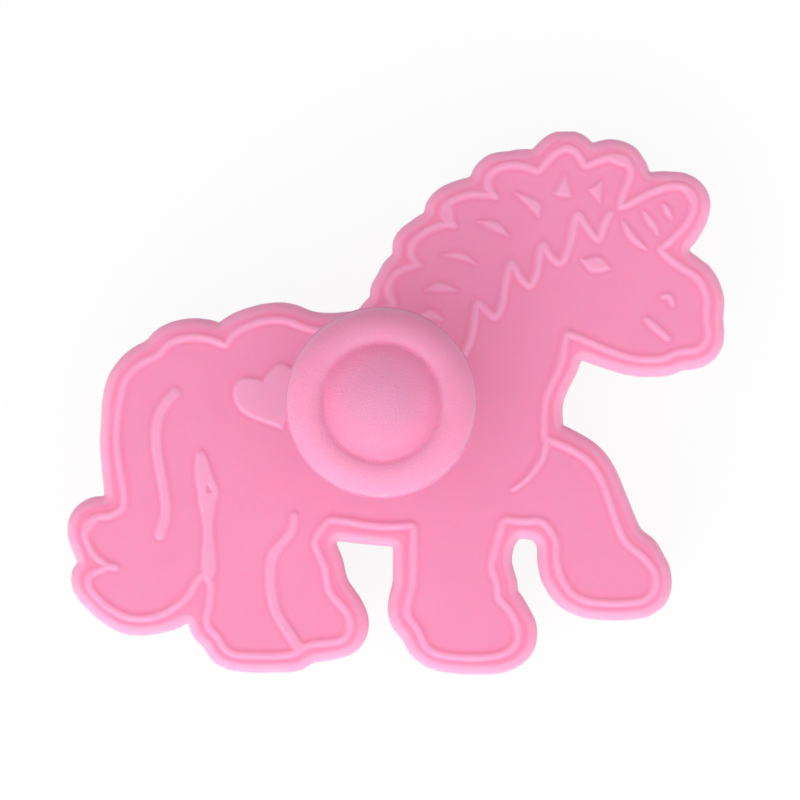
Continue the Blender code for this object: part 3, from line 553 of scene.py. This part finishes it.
# Softness of the edges that meet in the seam, and the cap's thickness
SEAM_ROUND = 0.08
CAP_WALL = 1.5
KNOB_SHELL_PROFILE = (
    (11.6, 35.8), (12.4, 35.8, SEAM_ROUND),                   # seam
    (12.4, 29.4, 0.5), (10.8, 29.4, 0.4), (10.8, 32.4, 0.5),  # outer wall, down to its edge
    (7.3, 32.4, 0.4), (7.3, 30.0, 0.35), (6.2, 30.0, 0.3),    # floor, cup round the spring
    (6.2, 32.4), (3.3, 32.4), (3.3, 35.0),                    # spring's seat, socket on the stem
    (1.7, 35.0), (1.7, 36.6), (5.2, 36.6, 0.3),               # hole for the screw, hub's top
    (5.2, 34.4), (10.8, 34.4), (10.8, 35.8), (11.6, 35.8))    # floor and wall inside the knob
STEM_PROFILE = (
    (0, 26.4), (1.7, 26.4), (1.7, 34.7), (3.0, 34.7, 0.2),    # upper pilot hole
    (3.0, 13.5, 0.2), (1.7, 13.5), (1.7, 22.2), (0, 22.2))    # lower pilot hole


def make_knob_cap():
    """Upper shell: dome, crease round it, crest that rolls over to the seam."""
    top = KNOB_TOP / MM
    groove = top - DOME_RISE
    bend = (DOME_RADIUS ** 2 + DOME_RISE ** 2) / (2 * DOME_RISE)
    dome = [(r, top - bend + math.sqrt(bend ** 2 - r ** 2))
            for r in np.linspace(0, DOME_RADIUS - DOME_END, DOME_POINTS)]
    ring = [(DOME_RADIUS + (CREST_RADIUS - DOME_RADIUS) * t,
             groove + CREST_RISE * (1 - (1 - t) ** 2)) for t in CREST_SHARES]
    roll = [(CREST_RADIUS + (CAP_RADIUS - CREST_RADIUS) * math.sin(a),
             groove + CREST_RISE - ROLL_DEPTH * (1 - math.cos(a)))
            for a in np.linspace(0, math.pi / 2, ROLL_POINTS)]
    return turned("knob_cap_shell", (
        *dome, (DOME_RADIUS, groove, CREASE_ROUND), *ring, *roll,
        (CAP_RADIUS, 35.9, SEAM_ROUND), (10.5, 35.9), (10.5, 34.6), (9.3, 34.6),     # seam, spigot
        (9.3, groove - CAP_WALL, 0.5), (3.9, groove - CAP_WALL),                     # inside
        (3.9, top - CAP_WALL), (0, top - CAP_WALL)))                                 # screw's room


# Screws and washer

# Pan head over its seat, and the shank that runs down from it
SCREW_PROFILE = (
    (0, 1.4), (1.2, 1.38), (2.1, 1.2), (2.7, 0.75, 0.2), (2.7, 0, 0.1),
    (1.4, 0), (1.4, -7.6), (0, -9.0))
# Cross recess: length, width, depth of its cutter, where that is over the seat, and how much the
# slots taper along their length and width
RECESS_LENGTH, RECESS_WIDTH, RECESS_DEPTH, RECESS_PLACE = 2.9, 0.62, 1.4, 1.2
LONG_TAPER, CROSS_TAPER = 0.6, 0.7
WASHER_PROFILE = (
    (2.4, 37.4), (3.5, 37.4, 0.12), (3.5, 36.9, 0.06),
    (1.7, 36.9, 0.06), (1.7, 37.4, 0.12), (2.4, 37.4))


def make_screw(name, seat, way):
    """Pan-head screw with a cross recess. Its head stands from the seat in the way +1 or -1."""
    def up(height):
        return seat / MM + way * height

    screw = turned(name, [(corner[0], up(corner[1]), *corner[2:]) for corner in SCREW_PROFILE],
                   SMALL_TURN_STEPS)
    for scale, taper in (
            ((RECESS_LENGTH, RECESS_WIDTH, RECESS_DEPTH), (LONG_TAPER, CROSS_TAPER, 1)),
            ((RECESS_WIDTH, RECESS_LENGTH, RECESS_DEPTH), (CROSS_TAPER, LONG_TAPER, 1))):
        bpy.ops.mesh.primitive_cube_add(
            size=1, location=AXIS + Vector((0, 0, up(RECESS_PLACE) * MM)),
            scale=[side * MM for side in scale])
        slot = bpy.context.object
        bpy.ops.object.mode_set(mode="EDIT")
        bpy.ops.mesh.select_all(action="DESELECT")
        bpy.ops.object.mode_set(mode="OBJECT")
        for face in slot.data.polygons:
            face.select = face.normal.z * way < -0.5
        bpy.ops.object.mode_set(mode="EDIT")
        bpy.ops.transform.resize(value=taper)
        bpy.ops.object.mode_set(mode="OBJECT")
        choose(screw)
        cut = screw.modifiers.new("recess", "BOOLEAN")
        cut.object = slot
        cut.operation = "DIFFERENCE"
        bpy.ops.object.modifier_apply(modifier=cut.name)
        bpy.data.objects.remove(slot)
    bpy.ops.object.shade_smooth_by_angle(angle=SMOOTH)
    return screw


# The return spring

COIL_RADIUS, WIRE = 5.45, 0.9
TURNS, TURN_POINTS = 6.5, 40
# Rise of the closed end turns and how much more the open ones rise, and where and over how much of
# a turn one goes over into the other
CLOSED_RISE, MORE_RISE = 0.93, 2.4
END_TURNS, END_FADE = 0.8, 0.7
# How much of the wire's thickness its middle is over its seat, so that its ground end lies flat
GROUND_SHARE = 0.4


def make_spring():
    """Compression spring with closed, ground ends, from the plate to the knob's floor."""
    count = round(TURNS * TURN_POINTS)
    turn = np.linspace(0, TURNS, count + 1)
    rise = CLOSED_RISE + (MORE_RISE * smooth_step((turn - END_TURNS) / END_FADE)
                          * smooth_step((TURNS - END_TURNS - turn) / END_FADE))
    way = np.concatenate([[0], np.cumsum((rise[1:] + rise[:-1]) / 2)])
    low, high = PLATE_TOP + GROUND_SHARE * WIRE * MM, KNOB_FLOOR - GROUND_SHARE * WIRE * MM
    heights = low + (high - low) * way / way[-1]
    curve = bpy.data.curves.new("coil_spring", "CURVE")
    curve.dimensions = "3D"
    curve.bevel_depth = WIRE / 2 * MM
    curve.bevel_resolution = 4
    curve.use_fill_caps = True
    spline = curve.splines.new("POLY")
    spline.points.add(count)
    for knot, t, height in zip(spline.points, turn, heights):
        angle = 2 * math.pi * t
        knot.co = (AXIS.x + COIL_RADIUS * MM * math.cos(angle),
                   AXIS.y + COIL_RADIUS * MM * math.sin(angle), height, 1)
    spring = bpy.data.objects.new("coil_spring", curve)
    bpy.context.scene.collection.objects.link(spring)
    choose(spring)
    bpy.ops.object.convert(target="MESH")
    spring = bpy.context.object
    close_seams(MERGE)
    for vert in spring.data.vertices:
        vert.co.z = min(max(vert.co.z, PLATE_TOP + LEVEL), KNOB_FLOOR - LEVEL)
    bpy.ops.object.shade_smooth_by_angle(angle=WIRE_SMOOTH)
    return spring


# Materials

# Colours of the plate by the height over its flat, in millimetres: skirt, rim paler as a painted
# highlight, groove deeper as painted shade, flat, and lines paler on top as a painted highlight
PLATE_TONES_AND_PAINTED_LIGHT = (
    (-2.2, "#fa9ac1"), (-1.5, "#fba8c9"), (-0.12, "#fba8c9"), (-0.06, "#fba0c5"),
    (-0.02, "#f992bb"), (0.0, "#fb9ac1"), (0.06, "#fb9ac1"), (0.18, "#fca8cb"))
# Colours of the knob by the distance from its axis: paler in the dome's middle and on the crest
# round it as painted highlights, and deeper in the crease round the dome and at the rolled edge as
# painted shade
KNOB_TONES_AND_PAINTED_LIGHT = (
    (0.0, "#fb9fc4"), (5.5, "#fb98be"), (7.0, "#f98eb6"), (7.6, "#f98eb6"), (8.2, "#fb9ec2"),
    (10.0, "#fb9ec2"), (12.4, "#fa93bb"))


def linear(hex_colour):
    """Linear colour of an sRGB hex value."""
    parts = [int(hex_colour[i:i + 2], 16) / 255 for i in (1, 3, 5)]
    return (*(p / 12.92 if p <= 0.04045 else ((p + 0.055) / 1.055) ** 2.4 for p in parts), 1)


def add_node(material, kind, inputs=None, links=None, **settings):
    """Add a shader node. links gives the (node, output) that feeds each of its sockets."""
    node = material.node_tree.nodes.new("ShaderNode" + kind)
    for name, value in settings.items():
        setattr(node, name, value)
    for name, value in (inputs or {}).items():
        node.inputs[name].default_value = value
    for name, (source, output) in (links or {}).items():
        material.node_tree.links.new(source.outputs[output], node.inputs[name])
    return node


def new_material(name):
    """Empty node material, and its output node."""
    material = bpy.data.materials.new(name)
    material.use_nodes = True
    material.node_tree.nodes.clear()
    return material, add_node(material, "OutputMaterial")


def finish_material(material, output, shader):
    """Put the shader on the material's output."""
    material.node_tree.links.new(shader.outputs[0], output.inputs["Surface"])
    return material


def moulded_polypropylene(name, grain_size, grain_depth, roughness, sheen, place_value, shades):
    """Injection-moulded polypropylene from a spark-eroded mould: soft, slightly cloudy colour with
    a matt grain, a pale sheen where the surface turns away, and light that passes a little way
    through it. Its colour holds painted shade, deeper in grooves and creases, and painted
    highlights,
    paler on rims, crests and raised tops: the shades stand at values in millimetres that
    place_value finds. The real grain is about 0.05 mm and too fine to show, so its size in
    millimetres is drawn coarser."""
    material, output = new_material(name)
    place = add_node(material, "TexCoord")
    first, last = shades[0][0], shades[-1][0]
    along = add_node(material, "MapRange", {"From Min": first * MM, "From Max": last * MM},
                     {"Value": place_value(material, place)})
    # Ramp of the colours, with painted shade in grooves and creases and painted highlights on rims,
    # crests and tops
    shade = add_node(material, "ValToRGB", links={"Fac": (along, "Result")})
    stops = shade.color_ramp.elements
    for value, _ in shades[1:-1]:
        stops.new((value - first) / (last - first))
    for stop, (value, hex_colour) in zip(stops, shades):
        stop.position, stop.color = (value - first) / (last - first), linear(hex_colour)
    # Clouds about 11 mm wide, as the colour flows in the mould
    cloud = add_node(material, "TexNoise", {"Scale": 90, "Detail": 3},
                     {"Vector": (place, "Object")})
    dim = add_node(material, "MapRange", {"To Min": 0.95, "To Max": 1.03},
                   {"Value": (cloud, "Fac")})
    colour = add_node(material, "Mix", {0: 1.0}, {6: (shade, "Color"), 7: (dim, "Result")},
                      data_type="RGBA", blend_type="MULTIPLY")
    grain = add_node(material, "TexNoise",
                     {"Scale": 1 / (grain_size * MM), "Detail": 2, "Roughness": 0.6},
                     {"Vector": (place, "Object")})
    bump = add_node(material, "Bump", {"Strength": 1, "Distance": grain_depth * MM},
                    {"Height": (grain, "Fac")})
    dull = add_node(material, "MapRange", {"To Min": roughness - 0.04, "To Max": roughness + 0.04},
                    {"Value": (grain, "Fac")})
    shader = add_node(
        material, "BsdfPrincipled",
        {"IOR": 1.49, "Specular IOR Level": 0.3, "Sheen Weight": sheen, "Sheen Roughness": 0.45,
         "Subsurface Weight": 1.0, "Subsurface Radius": (1.0, 0.18, 0.26),
         "Subsurface Scale": 2.4 * MM},
        {"Base Color": (colour, 2), "Normal": (bump, "Normal"), "Roughness": (dull, "Result")})
    return finish_material(material, output, shader)


def plate_value(material, place):
    """Height over the plate's flat."""
    height = add_node(material, "SeparateXYZ", links={0: (place, "Object")})
    return add_node(material, "Math", {1: PLATE_TOP}, {0: (height, "Z")}, operation="SUBTRACT"), 0


def knob_value(material, place):
    """Distance from the plunger's axis."""
    flat = add_node(material, "VectorMath", {1: (1, 1, 0)}, {0: (place, "Object")},
                    operation="MULTIPLY")
    away = add_node(material, "VectorMath", {1: AXIS}, {0: (flat, 0)}, operation="DISTANCE")
    return away, "Value"


def steel(name, hex_colour, roughness, streaks):
    """Stainless steel with the fine streaks of its drawing or turning, which make its gloss uneven.
    The real ones are a few hundredths of a millimetre wide and too fine to show, so they are drawn
    about 0.1 mm wide and 0.7 mm long. streaks says how much narrower they are along each axis."""
    material, output = new_material(name)
    place = add_node(material, "TexCoord")
    run = add_node(material, "Mapping", {"Scale": streaks}, {"Vector": (place, "Object")})
    streak = add_node(material, "TexNoise", {"Scale": 1500, "Detail": 3},
                      {"Vector": (run, "Vector")})
    dull = add_node(material, "MapRange", {"To Min": roughness - 0.07, "To Max": roughness + 0.1},
                    {"Value": (streak, "Fac")})
    bump = add_node(material, "Bump", {"Strength": 0.4, "Distance": 0.01 * MM},
                    {"Height": (streak, "Fac")})
    shader = add_node(material, "BsdfPrincipled", {"Base Color": linear(hex_colour), "Metallic": 1},
                      {"Roughness": (dull, "Result"), "Normal": (bump, "Normal")})
    return finish_material(material, output, shader)


# Table, room, light and camera

# How much of the table's own shade gives way to plain white where it is seen
TABLE_GLOW = 0.85
# The room's light: its way to the lit side, and its level from the far side to the lit one and from
# the table's level up to the camera
LIT_SIDE = (-0.3, -0.9, 0.3)
SIDE_LIGHT = (0.05, 1.22)
RISE_LIGHT = (1.71, 0.92)
# Soft boxes: name, place, size and power
SOFT_BOXES = (
    ("front_soft_box", (-0.22, -0.42, 0.42), 0.3, 0.38),
    ("low_strip", (-0.26, -0.42, 0.09), 0.2, 0.36),
    ("side_strip", (0.5, -0.12, 0.16), 0.3, 0.28),
    ("overhead_soft_box", (-0.06, -0.05, 0.6), 0.9, 0.6))
CAMERA_PLACE = (0.53 * MM, 0.47 * MM, 387 * MM)
CAMERA_LENS, CAMERA_SENSOR = 122.39, 36
TABLE_SIZE = 3


def seen_directly(material, **settings):
    """Node that is 1 for the rays that show a surface as it is, to the camera or in a gloss."""
    rays = add_node(material, "LightPath")
    seen = add_node(material, "Math", operation="ADD",
                    links={0: (rays, "Is Camera Ray"), 1: (rays, "Is Glossy Ray")})
    return add_node(material, "Math", operation="ADD",
                    links={0: (seen, 0), 1: (rays, "Is Transmission Ray")}, **settings)


def white_table():
    """White table that shows as plain white, with a trace of the cutter's shadow."""
    material, output = new_material("white_table")
    share = add_node(material, "Math", {1: TABLE_GLOW}, {0: (seen_directly(material), 0)},
                     operation="MULTIPLY", use_clamp=True)
    matt = add_node(material, "BsdfDiffuse", {"Color": linear("#cfcfcf")})
    glow = add_node(material, "Emission", {"Strength": 1.06})
    mixed = add_node(material, "MixShader", links={0: (share, 0), 1: (matt, 0), 2: (glow, 0)})
    return finish_material(material, output, mixed)


def white_room():
    """World: soft even light, and plain white where it is seen."""
    world = bpy.data.worlds.new("white_room")
    world.use_nodes = True
    world.node_tree.nodes.clear()
    seen = seen_directly(world, use_clamp=True)
    place = add_node(world, "TexCoord")
    towards = add_node(world, "VectorMath", {1: LIT_SIDE}, {0: (place, "Generated")},
                       operation="DOT_PRODUCT")
    side = add_node(world, "MapRange",
                    {"From Min": -1.0, "To Min": SIDE_LIGHT[0], "To Max": SIDE_LIGHT[1]},
                    {"Value": (towards, "Value")})
    height = add_node(world, "SeparateXYZ", links={0: (place, "Generated")})
    rise = add_node(world, "MapRange", {"To Min": RISE_LIGHT[0], "To Max": RISE_LIGHT[1]},
                    {"Value": (height, "Z")})
    level = add_node(world, "Math", links={0: (side, "Result"), 1: (rise, "Result")},
                     operation="MULTIPLY")
    soft = add_node(world, "Background", {"Color": linear("#ffffff")},
                    {"Strength": (level, "Value")})
    plain = add_node(world, "Background", {"Color": linear("#ffffff"), "Strength": 1})
    mixed = add_node(world, "MixShader", links={0: (seen, 0), 1: (soft, 0), 2: (plain, 0)})
    output = add_node(world, "OutputWorld")
    world.node_tree.links.new(mixed.outputs[0], output.inputs["Surface"])
    bpy.context.scene.world = world


def soft_box(name, place, size, power):
    """Square lamp that faces the middle of the plate."""
    bpy.ops.object.light_add(type="AREA", location=place)
    lamp = bpy.context.object
    lamp.name = name
    lamp.data.size = size
    lamp.data.energy = power
    way = Vector((0, 0, PLATE_TOP)) - Vector(place)
    lamp.rotation_euler = way.to_track_quat("-Z", "Y").to_euler()


def light_and_camera():
    """Soft boxes on the feet's side, low on the left and the right, and overhead, the camera above
    and the table."""
    for box in SOFT_BOXES:
        soft_box(*box)
    bpy.ops.object.camera_add(location=CAMERA_PLACE, rotation=(0, 0, 0))
    camera = bpy.context.object
    camera.data.lens = CAMERA_LENS
    camera.data.sensor_width = CAMERA_SENSOR
    camera.data.clip_start = 0.01
    bpy.context.scene.camera = camera
    bpy.ops.mesh.primitive_plane_add(size=TABLE_SIZE, location=(0, 0, 0))
    table = bpy.context.object
    table.name = "table"
    table.data.materials.append(white_table())


# The whole tool

def place_piece(piece, body, slot, material, *nodes):
    """Give the piece its finish, let it ride on its body, and let it stand for its solids."""
    piece.data.materials.clear()
    piece.data.materials.append(material)
    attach(piece, body)
    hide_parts(*nodes)


def build():
    """All pieces with their finishes."""
    body_pink = moulded_polypropylene("matt_pink_polypropylene", 0.3, 0.02, 0.5, 0.5, plate_value,
                                      PLATE_TONES_AND_PAINTED_LIGHT)
    knob_pink = moulded_polypropylene("grained_pink_polypropylene", 0.25, 0.12, 0.34, 0.3,
                                      knob_value, KNOB_TONES_AND_PAINTED_LIGHT)
    wire_steel = steel("drawn_stainless_wire", "#b9b8b4", 0.28, (1, 1, 6))
    screw_steel = steel("turned_stainless_steel", "#c4c3bf", 0.3, (6, 6, 1))

    place_piece(make_cutter(), "cutter", "body_plastic", body_pink, "cutter_body")
    place_piece(make_stamp(), "plunger", "stamp_plastic", body_pink, "stamp_plate")
    place_piece(turned("stem", STEM_PROFILE), "plunger", "stamp_plastic", body_pink, "plunger_stem")
    place_piece(turned("knob_shell", KNOB_SHELL_PROFILE), "plunger", "knob_plastic", knob_pink,
                "knob_base")
    place_piece(make_knob_cap(), "plunger", "knob_plastic", knob_pink, "knob_cap")
    place_piece(make_screw("stamp_pan_screw", 11.7 * MM, -1), "plunger", "screw_steel", screw_steel,
                "stamp_screw")
    place_piece(make_screw("knob_pan_screw", 37.7 * MM, 1), "plunger", "screw_steel", screw_steel,
                "knob_screw")
    place_piece(turned("washer", WASHER_PROFILE, SMALL_TURN_STEPS), "plunger", "screw_steel",
                screw_steel, "knob_washer")
    spring = make_spring()
    place_piece(spring, "cutter", "spring_steel", wire_steel, "return_spring")
    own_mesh(spring)


build()
white_room()
light_and_camera()
bpy.context.scene.view_settings.view_transform = "Standard"
